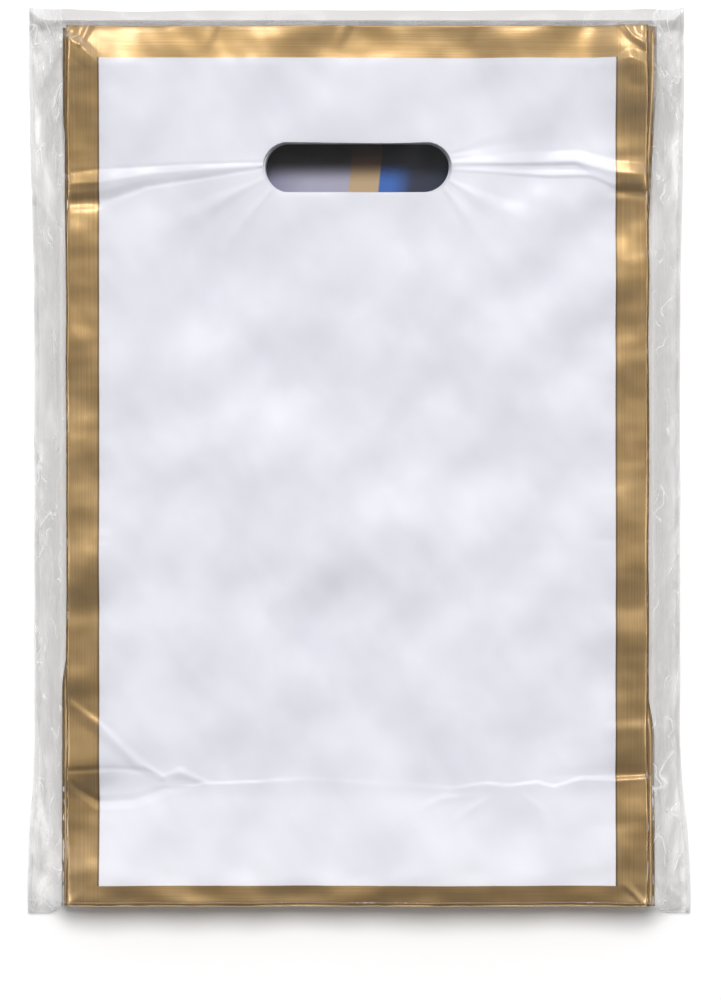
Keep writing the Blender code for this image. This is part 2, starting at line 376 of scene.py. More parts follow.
def clear_film(name, tint, layers_and_shade_tint, haze, crinkle_depth):
    """Clear, crinkled film, with a gloss that grows at a slant.

    It is greyer at the mouth, partly for the folded layers there and partly as painted shade, greyer where it
    is steep as painted shade, and hazier where it is steep, by the mesh's own shares.
    """
    made, tree, shader = new_material(name)
    place, _, _ = object_place(tree)
    crinkle = noise(tree, place, 420.0, 3.0, 0.62, (1, 0.45, 1))
    steep = add(tree, "ShaderNodeAttribute", attribute_name="slant").outputs["Fac"]
    mouth = add(tree, "ShaderNodeAttribute", attribute_name="mouth").outputs["Fac"]
    slack = mapped(tree, steep, 0.05, 0.22)
    # Slack film is creased into facets, and some of its creases are white
    drawn = add(tree, "ShaderNodeVectorMath", {0: place, 1: (1, 0.26, 1)}, operation="MULTIPLY").outputs[0]
    wander = {"Vector": place, "Scale": 150.0, "Detail": 1.0}
    warp = add(tree, "ShaderNodeTexNoise", wander, noise_dimensions="2D").outputs["Color"]
    moved = {0: warp, 1: (0.007, 0.004, 0.004), 2: drawn}
    bent = add(tree, "ShaderNodeVectorMath", moved, operation="MULTIPLY_ADD").outputs[0]
    web = {"Vector": bent, "Scale": 235.0}
    cells = add(tree, "ShaderNodeTexVoronoi", web, feature="DISTANCE_TO_EDGE", voronoi_dimensions="2D")
    from_crease = cells.outputs["Distance"]
    facet = maths(tree, "MULTIPLY", maths(tree, "MINIMUM", from_crease, 0.4), slack)
    tent = add(tree, "ShaderNodeBump", {"Strength": crinkle_depth, "Distance": 1.1 * MM, "Height": facet})
    here = maths(tree, "MULTIPLY", slack, mapped(tree, noise(tree, place, 110.0, 2.0), 0.50, 0.62))
    fine = {"Strength": crinkle_depth, "Distance": 0.06 * MM, "Height": crinkle, "Normal": tent.outputs[0]}
    bump = add(tree, "ShaderNodeBump", fine)
    shader.inputs["Base Color"].default_value = (0.97, 0.972, 0.98, 1)
    tree.links.new(mapped(tree, crinkle, 0.3, 0.7, 0.05, 0.13), shader.inputs["Roughness"])
    shader.inputs["Specular IOR Level"].default_value = 0.6
    tree.links.new(bump.outputs[0], shader.inputs["Normal"])
    gloss = add(tree, "ShaderNodeBsdfGlossy", {"Color": (1, 1, 1, 1), "Roughness": 0.13})
    tree.links.new(bump.outputs[0], gloss.inputs["Normal"])
    # Painted shade: the tint greys where the film is steep, standing for the light a slanted film turns away
    streak = noise(tree, place, 1.0, 3.0, 0.55, (900, 42, 1))
    streaked = maths(tree, "MULTIPLY", steep, mapped(tree, streak, 0.25, 0.75, 0.55, 1.30), True)
    grey = maths(tree, "ADD", mouth, maths(tree, "MULTIPLY", streaked, STEEP_PAINTED_SHADE), True)
    clear = add(tree, "ShaderNodeBsdfTransparent", {"Color": mixed(tree, grey, (*tint, 1), (*layers_and_shade_tint, 1))})
    facing = {"Blend": 0.25, "Normal": bump.outputs[0]}
    fresnel = add(tree, "ShaderNodeLayerWeight", facing).outputs["Fresnel"]
    shine = mapped(tree, fresnel, 0.0, 1.0, 0.010, 0.50)
    hazy = maths(tree, "ADD", haze, maths(tree, "MULTIPLY", streaked, STEEP_HAZE), True)
    white = maths(tree, "MULTIPLY", mapped(tree, from_crease, 0.0, 0.06, CREASE_HAZE, 0.0), here)
    hazy = maths(tree, "ADD", hazy, white, True)
    body = add(tree, "ShaderNodeMixShader", {0: hazy, 1: clear.outputs[0], 2: shader.outputs[0]})
    film = add(tree, "ShaderNodeMixShader", {0: shine, 1: body.outputs[0], 2: gloss.outputs[0]})
    tree.links.new(film.outputs[0], tree.nodes["Material Output"].inputs[0])
    return made


def card_stock(name):
    """The card's print as the slot shows it: a white field, a gold stripe, a blue block and a slate one. Its
    upper band is painted shadow, where the slot's upper edge shades the card, and the white field has painted
    shade towards the slot's left end.
    """
    made, tree, shader = new_material(name)
    place, x, y = object_place(tree)
    fibre = noise(tree, place, 900.0, 4.0, 0.7)
    slanted = maths(tree, "ADD", x, maths(tree, "MULTIPLY", maths(tree, "SUBTRACT", y, 0.084), -0.10))
    to_gold = mapped(tree, slanted, -2.6 * MM, -1.4 * MM)
    to_blue = mapped(tree, slanted, 6.3 * MM, 6.8 * MM)
    to_slate = mapped(tree, slanted, 9.5 * MM, 17.0 * MM)
    # Painted shade: the white field darkens towards the slot's left end, where the end wall shades the card
    painted_end_shade = mapped(tree, slanted, -27.0 * MM, -12.0 * MM)
    pale = mixed(tree, painted_end_shade, (0.22, 0.22, 0.32, 1), (0.36, 0.355, 0.45, 1))
    field = mixed(tree, to_gold, pale, (0.46, 0.335, 0.190, 1))
    field = mixed(tree, to_blue, field, (0.045, 0.13, 0.42, 1))
    field = mixed(tree, to_slate, field, (0.028, 0.034, 0.058, 1))
    # Painted shadow: the band under the slot's upper edge takes shadowed copies of the print's colours
    painted_slot_shadow = mapped(tree, y, 80.6 * MM, 87.2 * MM)
    shadowed_print_colours = mixed(tree, to_gold, (0.012, 0.009, 0.011, 1), (0.04, 0.016, 0.005, 1))
    shadowed_print_colours = mixed(tree, to_blue, shadowed_print_colours, (0.006, 0.006, 0.010, 1))
    face = mixed(tree, painted_slot_shadow, field, shadowed_print_colours)
    grey = mixed(tree, mapped(tree, fibre, 0.3, 0.7), (0.50, 0.49, 0.47, 1), (0.62, 0.61, 0.58, 1))
    normal = add(tree, "ShaderNodeNewGeometry").outputs["True Normal"]
    up = add(tree, "ShaderNodeSeparateXYZ", {0: normal}).outputs[2]
    tree.links.new(mixed(tree, mapped(tree, up, 0.3, 0.7), grey, face), shader.inputs["Base Color"])
    tree.links.new(mapped(tree, fibre, 0.3, 0.7, 0.4, 0.6), shader.inputs["Roughness"])
    bump = add(tree, "ShaderNodeBump", {"Strength": 0.2, "Distance": 0.03 * MM, "Height": fibre})
    tree.links.new(bump.outputs[0], shader.inputs["Normal"])
    return made


# The front bag's relief, in millimetres from its middle

FOLDS = (
    # Pleat from the slot's left end, which opens out towards the edge
    ((-82.6, 83.4, 1.0, 1.0, 0.0), (-72.8, 84.2, 0.7, 0.7, -0.05), (-55.8, 85.0, 0.7, 0.6, -0.10),
     (-27.0, 85.9, 0.5, 0.4, -0.10)),
    ((-82.6, 79.9, 3.2, 5.4, 0.52), (-72.8, 80.4, 3.6, 5.4, 0.50), (-55.8, 83.0, 1.9, 3.2, 0.36),
     (-26.8, 85.0, 0.7, 1.0, 0.16)),
    ((-82.6, 74.3, 3.0, 2.2, -0.42), (-72.8, 74.9, 3.0, 2.2, -0.34), (-60.1, 79.2, 1.8, 1.0, -0.16),
     (-45.1, 81.2, 1.4, 0.8, -0.12), (-27.0, 84.2, 0.7, 0.4, -0.10)),
    # Pleat from the slot's right end, which bends down near the edge
    ((26.8, 85.6, 1.2, 0.4, 0.12), (45.0, 85.8, 3.2, 0.5, 0.30), (62.2, 86.1, 3.6, 0.7, 0.36),
     (73.2, 83.2, 3.4, 4.6, 0.44), (82.6, 82.6, 3.0, 5.2, 0.48)),
    ((26.8, 83.9, 0.8, 0.4, 0.08), (54.8, 82.3, 1.7, 0.6, 0.22), (65.9, 82.4, 1.6, 0.7, 0.24),
     (73.2, 79.6, 1.6, 0.9, 0.12), (76.0, 78.6, 1.0, 1.0, 0.0)),
    ((70.0, 77.6, 2.0, 1.5, 0.0), (74.0, 77.6, 2.6, 1.9, -0.26), (82.6, 77.0, 2.8, 2.1, -0.34)),
    # Fans round the slot's ends
    ((-58.0, 64.0, 6.0, 5.0, 0.0), (-38.0, 75.5, 2.4, 2.4, 0.22), (-26.2, 81.3, 0.6, 0.6, 0.05)),
    ((-42.0, 55.0, 5.0, 4.0, 0.0), (-31.0, 70.5, 2.2, 2.2, 0.20), (-23.8, 79.0, 0.6, 0.6, 0.05)),
    ((26.0, 81.0, 0.6, 0.6, 0.05), (36.0, 75.0, 2.4, 3.4, 0.28), (55.0, 65.5, 6.5, 6.5, 0.0)),
    ((24.0, 79.4, 0.6, 0.6, 0.05), (30.5, 71.5, 2.0, 2.4, 0.20), (39.0, 56.0, 5.0, 5.0, 0.0)),
    ((26.6, 88.4, 0.6, 0.6, -0.06), (38.0, 91.0, 2.6, 2.6, -0.14), (60.0, 93.0, 4.5, 4.5, 0.0)),
    # The gusset's crease, which splits in two towards the left edge
    ((-43.4, -90.4, 0.6, 12.0, 0.20), (-28.9, -90.0, 0.7, 14.0, 0.20), (-14.5, -89.3, 1.2, 14.0, 0.08),
     (12.1, -91.0, 1.4, 14.0, 0.05), (26.8, -91.8, 1.0, 14.0, 0.12), (36.7, -90.3, 0.8, 14.0, 0.22),
     (43.0, -91.1, 0.8, 14.0, 0.20), (51.1, -90.0, 0.7, 14.0, 0.28), (55.7, -91.4, 0.8, 14.0, 0.26),
     (63.6, -88.9, 0.7, 14.0, 0.30), (73.5, -89.4, 0.7, 12.0, 0.34), (82.6, -88.8, 0.7, 12.0, 0.34)),
    ((14.0, -99.5, 2.5, 2.5, 0.0), (24.0, -94.5, 1.4, 1.8, 0.14), (34.0, -93.4, 0.8, 1.2, 0.0)),
    ((24.0, -103.0, 2.4, 2.4, 0.0), (33.0, -97.0, 1.4, 1.8, 0.14), (40.0, -92.6, 0.8, 1.0, 0.0)),
    ((46.0, -92.5, 0.8, 0.8, 0.0), (52.0, -97.5, 1.6, 1.6, 0.12), (55.0, -107.0, 3.0, 3.0, 0.0)),
    ((52.0, -88.0, 2.0, 1.6, 0.0), (66.0, -88.0, 3.0, 1.2, -0.16), (82.6, -87.7, 3.0, 1.0, -0.24)),
    ((-82.6, -66.6, 0.9, 3.5, 0.20), (-73.4, -73.4, 0.9, 3.0, 0.26), (-62.1, -84.2, 0.9, 2.6, 0.30),
     (-55.0, -88.4, 0.8, 1.5, 0.20)),
    ((-82.0, -86.7, 1.0, 1.0, -0.14), (-70.0, -86.0, 1.2, 1.2, -0.16), (-60.0, -86.6, 1.0, 1.2, -0.12),
     (-55.0, -88.6, 0.8, 0.8, 0.0)),
    ((-55.2, -88.4, 0.8, 1.6, 0.10), (-50.2, -86.9, 1.6, 2.0, 0.32), (-43.0, -89.9, 0.8, 1.0, 0.12)),
    ((-82.6, -89.3, 1.2, 1.6, -0.10), (-78.8, -92.1, 1.4, 1.8, -0.22), (-73.4, -95.6, 1.8, 2.4, -0.26),
     (-63.5, -95.0, 1.8, 2.4, -0.22), (-55.0, -91.8, 1.4, 2.0, -0.16), (-43.4, -90.6, 0.8, 1.0, 0.0)),
    ((69.5, -74.9, 2.0, 6.0, 0.0), (72.5, -74.9, 2.4, 11.0, 0.30), (82.6, -74.4, 2.4, 11.0, 0.34)),
    # Fans above the foot
    ((7.3, -119.5, 3.0, 3.0, 0.14), (10.7, -94.7, 5.0, 5.0, 0.0)),
    ((-16.2, -95.0, 5.0, 5.0, 0.0), (-9.1, -119.5, 3.0, 3.0, 0.12)),
    # Dents beside the panel's edges
    ((-73.2, -21.4, 0.6, 0.6, -0.12), (-65.7, -20.6, 0.6, 0.6, 0.0)),
    ((63.0, -20.8, 0.6, 0.6, 0.0), (73.2, -21.6, 0.6, 0.6, -0.14)),
    # Crumpled corners
    ((-82.6, 121.4, 2.0, 4.6, 0.60), (-78.6, 118.9, 2.4, 4.2, 0.55), (-72.0, 112.8, 2.4, 3.4, 0.0)),
    ((-78.8, 119.6, 1.2, 1.2, 0.30), (-76.3, 125.0, 1.2, 1.6, 0.35)),
    ((75.8, 125.0, 1.4, 1.4, 0.36), (78.6, 121.5, 1.2, 1.8, 0.34), (82.6, 119.0, 1.2, 1.8, 0.40)),
    ((72.8, 114.6, 1.6, 4.0, 0.0), (77.6, 115.6, 2.6, 6.5, 0.50), (82.6, 113.6, 3.0, 6.5, 0.52)),
    ((74.6, -118.0, 2.2, 1.4, 0.0), (78.6, -121.4, 1.4, 1.0, 0.30), (82.6, -126.0, 1.2, 1.0, 0.34)),
    ((-82.6, -126.0, 1.6, 1.6, 0.26), (-77.0, -119.6, 2.0, 2.0, 0.0)),
    # Nicks along the mouth
    ((-42.6, 118.5, 1.6, 1.6, 0.0), (-40.4, 125.0, 1.6, 1.2, 0.20)),
    ((-6.4, 118.0, 2.2, 2.2, 0.0), (-2.8, 125.0, 2.4, 1.6, 0.26)),
    ((30.0, 119.0, 3.0, 3.0, 0.0), (33.0, 125.0, 2.4, 2.4, 0.16)),
)


def lie(x, y):
    """How far the front of the stack stands above its mean height, at a place measured from its middle."""
    u, v = x / MM, y / MM
    height = 1.60 * swell(u + 0.35 * v, v - 0.2 * u, 42, 58, 4)
    height += 1.15 * swell(u - 0.5 * v, v + 0.4 * u, 19, 27, 11)
    near_side = ease(62, 79, np.abs(u))
    height += near_side * (0.80 * swell(0.15 * u, v, 8, 11, 8) + 0.12 * swell(0.3 * u, v, 3, 4.2, 9))
    height += near_side * np.where(u > 0, 0.095, 0.055) * np.clip(v - 88, 0, 25)
    near_end = ease(110, 122, np.abs(v + 1.5))
    height += near_end * np.where(v < 0, 0.66, 0.34) * swell(u, v, 13, 7.5, 22)
    corner = ease(52, 70, np.abs(u)) * (1 - ease(78.5, 81.5, np.abs(u)))
    ragged = 1 + 0.60 * swell(u, 0 * v, 17, 1, 21) + 1.3 * corner
    height -= 0.085 * ragged * np.maximum(v - 113.5, 0) ** 2 / (np.maximum(v - 113.5, 0) + 1.5)
    height -= 0.05 * np.maximum(-119 - v, 0)
    height -= 0.05 * np.maximum(np.abs(u) - 77, 0)
    return height * MM


def wrinkles(x, y):
    """The front bag's own folds and fine wrinkles. Its valleys level off at about 0.55 mm."""
    u, v = x / MM, y / MM
    height = 0.15 * swell(u, v, 8, 10, 5)
    height += 0.10 * swell(u + 0.6 * v, v - 0.5 * u, 6, 18, 6)
    for route in FOLDS:
        height += FOLD_DEPTH * crease(u, v, route)
    away, _, side = slot_distance(x, y - slot_y_local)
    lip = np.exp(-np.maximum(away, 0) / (1.1 * MM))
    height -= lip * np.where(side < 0, 0.30, 0.10)
    return np.maximum(height, LOWEST_VALLEY + 0.1 * np.tanh(height - LOWEST_VALLEY)) * MM


def settle(x, y, z):
    """Heights in the stack, pressed up or down with its front."""
    share = np.clip((z - card_top) / (front_top - card_top), 0, 1.15)
    return z + share * lie(x - front_middle[0], y - front_middle[1])


# Bags


def bag_frame(number):
    """The middle of a bag, and half its thickness."""
    front = node_boxes[f"bag_{number}_front_panel"]
    back = node_boxes[f"bag_{number}_back_panel"]
    middle = (front[0] + front[1] + back[0] + back[1]) / 4
    return middle, (front[1][2] - back[0][2]) / 2


def bag_rows(fine):
    """The film's path from the front mouth, down and round the gusset, and up to the back mouth.

    Gives each row's place along the bag and its layer, from 1, the front, to -1, the back.
    """
    half = bag_length / 2
    slot = (slot_y_local + 9 * MM, slot_y_local - 9 * MM)
    step = 0.9 * MM if fine else 3.0 * MM
    close = 0.42 * MM if fine else 1.0 * MM
    end_step = 0.42 * MM if fine else 2.0 * MM
    creased = [(-85 * MM, step), (-98 * MM, close if fine else step)]
    stretches = [(half - 13 * MM, end_step), (slot[0], step), (slot[1], close), *creased, (-half, end_step)]
    front = spaced(half, stretches)
    fold = np.linspace(0.1, 0.9, 3)
    leaf = spaced(-half, [(-half + GUSSET_DEPTH, 1.2 * MM if fine else 3.0 * MM)])
    back = spaced(-half, [(slot[1], 3.0 * MM), (slot[0], 0.9 * MM), (half, 3.0 * MM)])
    rows = [(y, 1.0) for y in front]
    rows += [(-half - FOLD_TURN * math.sin(math.pi * t), 1.0 - (1 - LEAF) * t) for t in fold]
    rows += [(y, LEAF) for y in leaf]
    rows += [(leaf[-1] + 0.2 * MM, 0.0)]
    rows += [(y, -LEAF) for y in leaf[::-1]]
    rows += [(-half - FOLD_TURN * math.sin(math.pi * t), -LEAF - (1 - LEAF) * t) for t in fold]
    rows += [(y, -1.0) for y in back]
    return np.array(rows)


def edge_sway(number, x, y):
    """How far a bag's sides stray from straight, across the pack."""
    along = np.clip(y / bag_length + 0.5, 0, 1)
    if number == 1:
        pull = 0.35 * MM * swell(np.sign(x) * SIDES_APART, y, 1, 0.03, 31)
        return pull * ease(60 * MM, 82 * MM, np.abs(x))
    if number == 2:
        right = -0.7 + 2.4 * ease(0.72, 0.97, along) + 1.9 * ease(0.25, 0.19, along)
        return MM * (right * ease(0, 80 * MM, x) - 0.3 * ease(0, 80 * MM, -x))
    if number == 3:
        left = 1.1 - 2.3 * ease(0.32, 0.24, along) - 1.9 * ease(0.84, 0.90, along)
        return MM * left * ease(0, 80 * MM, -x)
    sway = 0.5 * MM * swell(np.sign(x) * SIDES_APART, y + number, 1, 0.05, 31 + number)
    return sway * ease(40 * MM, 82 * MM, np.abs(x))


def bag_film(number, materials):
    """One bag's film: a single folded web, welded down both sides, with the slot punched through."""
    fine = number == 1
    middle, half_thick = bag_frame(number)
    half = bag_width / 2
    outer, slot_x = 70 * MM, 29 * MM
    if fine:
        stretches = [(-outer, 0.42 * MM), (-slot_x, 0.8 * MM), (-20 * MM, 0.42 * MM), (20 * MM, 0.8 * MM),
                     (slot_x, 0.42 * MM), (outer, 0.8 * MM), (half, 0.42 * MM)]
    else:
        stretches = [(-outer, 1.5 * MM), (-slot_x, 4 * MM), (-18 * MM, 0.7 * MM), (18 * MM, 4 * MM),
                     (slot_x, 0.7 * MM), (outer, 4 * MM), (half, 1.5 * MM)]
    columns = spaced(-half, stretches)
    rows = bag_rows(fine)
    x = np.broadcast_to(columns, (len(rows), len(columns))).copy()
    y = np.broadcast_to(rows[:, :1], x.shape).copy()
    layer = np.broadcast_to(rows[:, 1:2], x.shape)

    raised = 0.0 if fine else SLOT_STEP * (front_top - middle[2])
    away, out_x, out_y = slot_distance(x, y - slot_y_local - raised)
    inside = (away < 0) & (np.abs(layer) == 1.0)
    x = np.where(inside, x - away * out_x, x)
    y = np.where(inside, y - away * out_y, y)
    keep = ~(inside[:-1, :-1] & inside[1:, :-1] & inside[1:, 1:] & inside[:-1, 1:])
    flat_x, flat_y = x, y

    swelling = np.sqrt(np.clip(1 - np.abs(flat_x / half) ** 60, 0, 1))
    z = middle[2] + layer * half_thick * swelling
    z = settle(flat_x + middle[0], flat_y + middle[1], z)
    if fine:
        z = z - 0.34 * MM * (layer == 1.0) * ease(1.4 * MM, 0, flat_y + bag_length / 2) ** 2
        own = (layer == 1.0) * (wrinkles(flat_x, flat_y) * (0.35 + 0.65 * swelling) + FRONT_LIFT * swelling)
        z = z + own
        dip = 0.45 * MM * np.clip(1 - (flat_x / SLOT_HALF_LENGTH) ** 2, 0, 1)
        y = y - dip * ease(0, 5 * MM, flat_y - slot_y_local) * ease(-30 * MM, -9 * MM, slot_y_local - flat_y)
    else:
        z = z + 0.06 * MM * swell(flat_x, flat_y + number, 0.03, 0.04, 40 + number)
    x = x + edge_sway(number, flat_x, flat_y)
    points = np.stack([x + middle[0], y + middle[1], z], axis=-1)
    piece = mesh_object(f"bag_{number}_film", points, materials, keep, origin=tuple(middle))
    thicken(piece, FILM, 1)
    body = f"bag_{number}"
    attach(piece, body)
    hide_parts(f"{body}_front_panel", f"{body}_back_panel", f"{body}_bottom_gusset")


def side_seam(number, side, side_name, material):
    """The bead where a bag's films are melted together down one side."""
    middle, half_thick = bag_frame(number)
    half = bag_width / 2
    y = spaced(bag_length / 2, [(-bag_length / 2, 0.8 * MM if number == 1 else 3.0 * MM)])[:, None]
    across = np.array([-0.9, -0.5, 0.0, 0.25]) * MM
    flat_x = side * (half + across) if side > 0 else side * (half + across[::-1])
    x, y = np.broadcast_arrays(flat_x[None, :], y)
    z = settle(x + middle[0], y + middle[1], np.full(x.shape, middle[2]))
    if number == 1:
        z = z + 0.3 * wrinkles(x, y)
    z = z + 0.04 * MM * swell(x, y, 0.002, 0.0025, 60 + number)
    crest = half_thick * 0.16 * np.clip(1 - ((np.abs(x) - half + 0.3 * MM) / (0.7 * MM)) ** 2, 0, 1)
    ragged = side * 0.07 * MM * swell(0 * y, y, 1, 0.0021, 70 + number)
    points = np.stack([x + middle[0] + edge_sway(number, x, y) + ragged, y + middle[1], z + crest], axis=-1)
    piece = mesh_object(f"bag_{number}_side_seam_bead_{side_name}", points, [material], origin=tuple(middle))
    thicken(piece, 0.22 * MM)
    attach(piece, f"bag_{number}")
    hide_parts(f"bag_{number}_side_seam_{side_name}")


# Sleeve


def side_edge(side, y):
    """How far out the sleeve's edge lies: it flares at the mouth, and more at the foot."""
    along = (y - foot_y) / (mouth_y - foot_y)
    at_mouth = (1.3 if side > 0 else 1.7) * ease(0.62, 1.0, along)
    at_foot = (3.0 if side > 0 else 2.0) * ease(0.20, 0.02, along)
    return sleeve_half + MM * (at_mouth + at_foot + 0.22 * swell(side + 0 * y, y, 1, 0.016, 80))


def foot_edge(x):
    """How far down the sleeve reaches: tight against the bags, with flared corners."""
    out = np.abs(x) / sleeve_half
    return bag_foot_y - 0.5 * MM - 2.7 * MM * ease(SHOULDER, 0.96, out)


def mouth_reach(x, is_front):
    """How far the mouth reaches past the flap's hinge: a lip on the front film, and an ear at each corner.

    The back film's ears are narrower, so that they stay clear of the flap.
    """
    start = FRONT_EAR_START if is_front else BACK_EAR_START
    out = np.clip((np.abs(x) / sleeve_half - start) / (EAR_END - start), 0, 1)
    lip = 1.1 + 0.35 * swell(x, 0 * x, 0.045, 1, 101)
    ear = 3.3 + 0.3 * swell(x, 0 * x, 0.006, 1, 102)
    return MM * (lip * (1 - out) * is_front + ear * out)


TUCKS = (
    # Tents from the corners of the stack to the corners of the sleeve
    ((-93.5, 127.5, 0.8, 3.0, 0.9), (-84.0, 117.0, 1.0, 3.4, 2.2)),
    ((-91.5, 105.5, 1.6, 1.0, 0.5), (-84.0, 116.5, 1.6, 1.0, 1.5)),
    ((84.0, 119.5, 1.6, 1.4, 1.6), (88.5, 121.5, 1.2, 2.0, 1.0), (93.0, 126.5, 1.0, 2.6, 0.8)),
    ((84.0, 112.0, 1.2, 1.8, 1.3), (90.5, 104.0, 1.4, 1.4, 0.5)),
    ((-93.5, -124.0, 1.8, 1.2, 0.7), (-89.0, -119.5, 1.4, 1.4, 1.3), (-84.0, -116.5, 1.4, 1.8, 1.7)),
    ((-90.5, -106.0, 1.2, 1.6, 0.5), (-84.0, -112.5, 1.2, 1.6, 1.6)),
    ((84.0, -117.0, 1.6, 1.4, 1.7), (89.0, -121.0, 1.4, 1.4, 1.2), (94.0, -125.0, 1.6, 1.2, 0.7)),
    ((84.0, -104.0, 1.6, 1.6, 1.4), (91.0, -99.0, 1.4, 1.4, 0.5)),
)


def crumple(x, y):
    """Crumpled film: long folds along the sides, and sharp facets towards the corners."""
    reach = np.abs(y + 1 * MM)
    wild = 0.30 + 0.70 * ease(35 * MM, 100 * MM, reach)
    near_end = ease(85 * MM, 116 * MM, reach)
    folds = 0.70 * swell(x, y, 0.0034, 0.030, 90) + 0.35 * swell(x + 0.08 * y, y, 0.0019, 0.016, 91)
    folds += 1.00 * facets(x - 0.16 * y, y, 0.0040, 0.0125, 92)
    folds += 0.42 * facets(x + 0.30 * y, y - 0.2 * x, 0.0022, 0.0046, 95)
    sharp = 1.50 * facets(x + 0.5 * y, y - 0.4 * x, 0.0050, 0.0062, 93)
    sharp += 0.62 * facets(x - 0.6 * y, y + 0.5 * x, 0.0026, 0.0032, 94)
    height = folds * wild * (1 - 0.45 * near_end) + sharp * near_end
    for route in TUCKS:
        height = height + crease(x / MM, y / MM, route)
    return height * MM


def steepness(points):
    """How far each point's surface leans over, from 0, level, to 1, upright."""
    down = np.gradient(points, axis=0)
    along = np.gradient(points, axis=1)
    normal = np.cross(along, down)
    return 1 - np.abs(normal[..., 2]) / np.maximum(np.linalg.norm(normal, axis=-1), 1e-12)


def sleeve_grid():
    """Shares across the sleeve, closest outside its shoulders, places along it, and shares down its foot."""
    across = spaced(-1.0, [(-SHOULDER, 0.0026), (SHOULDER, 0.0165), (1.0, 0.0026)])
    along = spaced(mouth_y, [(0.1, 0.40 * MM), (-0.1, 0.68 * MM), (bag_foot_y + 0.8 * MM, 0.40 * MM)])
    down = np.linspace(0, 1, 15)[1:] ** 0.8
    return across, along, down


def sleeve_film(name, is_front, material):
    """The front or back film, from weld to weld and from the mouth to the foot."""
    across, along, down = sleeve_grid()
    start = along[-1]
    share = np.broadcast_to(across, (len(along) + len(down), len(across)))
    side = np.where(share < 0, -1, 1)
    level = np.concatenate([along, np.full(len(down), start)])[:, None] + 0 * share
    drop = np.concatenate([np.zeros(len(along)), down])[:, None] + 0 * share
    edge = np.where(side < 0, side_edge(-1, level), side_edge(1, level))
    x = share * edge
    y = level + drop * (foot_edge(x) - start)
    y = y + mouth_reach(x, is_front) * np.clip((level - MOUTH_START) / (mouth_y - MOUTH_START), 0, 1)
    shoulder = bag_width / 2 + 1.2 * MM
    out = np.clip((np.abs(x) - shoulder) / (edge - shoulder), 0, 1)
    at_mouth = ease(mouth_y - 5 * MM, mouth_y, y)
    rim = WELD_HEIGHT + 1.2 * MM * swell(side * 5.0, y, 1, 0.03, 96)
    loose = np.sin(math.pi * out) ** 0.6
    if is_front:
        flat = settle(x, y, np.full_like(x, top_z + SLEEVE_LIFT))
        flat = flat + np.maximum(wrinkles(x - front_middle[0], y - front_middle[1]), 0)
        flat = flat + 0.07 * MM * swell(x, y, 0.03, 0.02, 97) + 0.05 * MM * facets(x, y, 0.014, 0.011, 98)
        slope = 1 - (1 - out) ** 1.25
        z = flat + (rim - flat) * slope + loose * crumple(x, y)
        z = z - at_mouth * (1 - out) * (0.6 * MM + 0.5 * MM * swell(x, y, 0.012, 0.01, 99))
        fall = drop**1.1
        z = z + (rim * 0.6 - z) * fall + 0.35 * MM * np.sin(math.pi * drop) * facets(x, z, 0.004, 0.003, 100)
    else:
        flat = (back_box[0][2] + back_box[1][2]) / 2
        z = flat + (rim - flat - 0.15 * MM) * out**1.5 + 0.6 * loose * crumple(x + 0.02, y)
        z = np.maximum(z, flat)
        z = z + (rim * 0.6 - 0.15 * MM - z) * ease(0.5, 1.0, drop)
        near_hinge = ease(mouth_y - 1.2 * MM, mouth_y, y)
        z = z + (hinge_z - z) * near_hinge * (1 - out) ** 0.5
    points = np.stack([x, y, z], axis=-1)
    # The mouth share greys the film there: partly its folded layers, partly painted shade
    mouth = ease(bag_mouth_y - 1.0 * MM, bag_mouth_y + 0.6 * MM, y) * (1 - 0.6 * out)
    piece = mesh_object(name, points, [material], shares={"slant": steepness(points), "mouth": mouth})
    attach(piece, "sleeve")
    return piece, points


def sleeve_weld(name, node, line, inward, material):
    """A flat, ribbed weld along an edge of the sleeve."""
    count = len(line)
    ribs = 0.05 * MM * np.sin(np.arange(count) * 2.1)[:, None]
    across = np.linspace(-0.1, 1.0, 5)[None, :]
    points = line[:, None, :] + inward[:, None, :] * across[..., None] * WELD_WIDTH
    points[..., 2] += 0.03 * MM + ribs * np.sin(math.pi * np.clip(across, 0, 1))
    piece = mesh_object(name, points, [material])
    thicken(piece, 0.09 * MM)
    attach(piece, "sleeve")
    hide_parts(node)


def build_sleeve(film, weld):
    front, points = sleeve_film("sleeve_front_sheet", True, film)
    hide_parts("sleeve_front_film")
    back, _ = sleeve_film("sleeve_back_sheet", False, film)
    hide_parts("sleeve_back_film")
    for side, column, side_name in ((-1, 0, "left"), (1, -1, "right")):
        line = points[:, column]
        inward = np.tile([-side, 0.0, 0.25], (len(line), 1))
        if side > 0:
            line = line[::-1]
        sleeve_weld(f"sleeve_{side_name}_weld_strip", f"sleeve_side_weld_{side_name}", line, inward, weld)
    line = points[-1, ::-1][::2]
    inward = np.tile([0.0, 0.35, 0.5], (len(line), 1))
    sleeve_weld("sleeve_foot_weld_strip", "sleeve_foot_weld", line, inward, weld)


